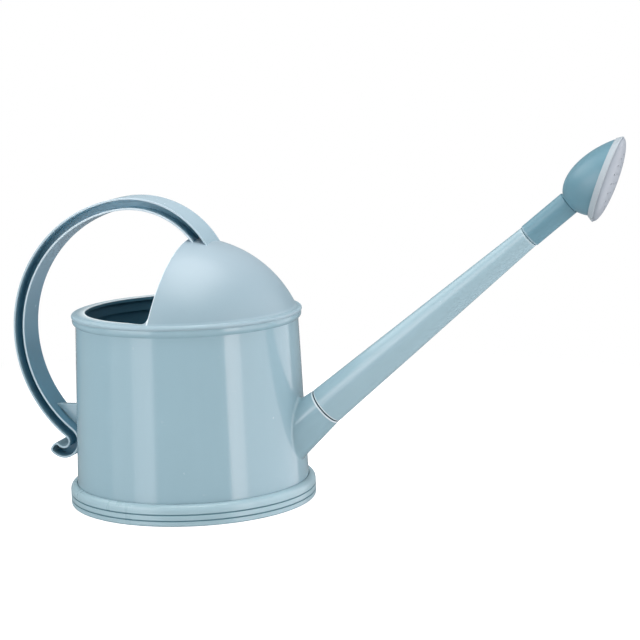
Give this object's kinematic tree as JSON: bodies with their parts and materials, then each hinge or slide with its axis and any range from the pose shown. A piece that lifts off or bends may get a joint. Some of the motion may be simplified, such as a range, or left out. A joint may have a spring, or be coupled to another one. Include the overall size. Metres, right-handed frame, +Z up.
{
  "type": "watering can",
  "caption": "Upright round watering can with a half hood over the fill opening, a scrolled loop handle of I section, a long slanted push-on spout and a turning rose.",
  "frame": {"origin": "centre of the underside, on the surface the can stands on", "axes": "+Z up, +X along the spout, +Y to the left of the spout seen from the handle"},
  "size_m": [0.5377, 0.2148, 0.3107],
  "materials": {
    "tank": "gloss",
    "base": "gloss",
    "cover": "satin",
    "handle": "gloss",
    "screw": "plated",
    "spout": "gloss",
    "seal": "matt",
    "rose": "gloss",
    "rose_face": "satin"
  },
  "bodies": {
    "can": {"tank_shell": "tank", "base_cap": "base", "top_cover": "cover", "handle": "handle", "handle_screw": "screw"},
    "spout": {"spout_tube": "spout", "spout_seal": "seal"},
    "rose_collar": {"rose_seal": "seal"},
    "rose": {"rose_shell": "rose", "rose_face": "rose_face"}
  },
  "joints": [
    {"name": "spout_pull", "type": "slide", "parent": "can", "child": "spout", "axis": [0.7716, 0, 0.6361], "range_m": [0, 0.04]},
    {"name": "rose_pull", "type": "slide", "parent": "spout", "child": "rose_collar", "axis": [0.7716, 0, 0.6361], "range_m": [0, 0.032]},
    {"name": "rose_swivel", "type": "hinge", "parent": "rose_collar", "child": "rose", "pos_m": [0.3082, 0, 0.23614], "axis": [0.7716, 0, 0.6361], "continuous": true}
  ]
}
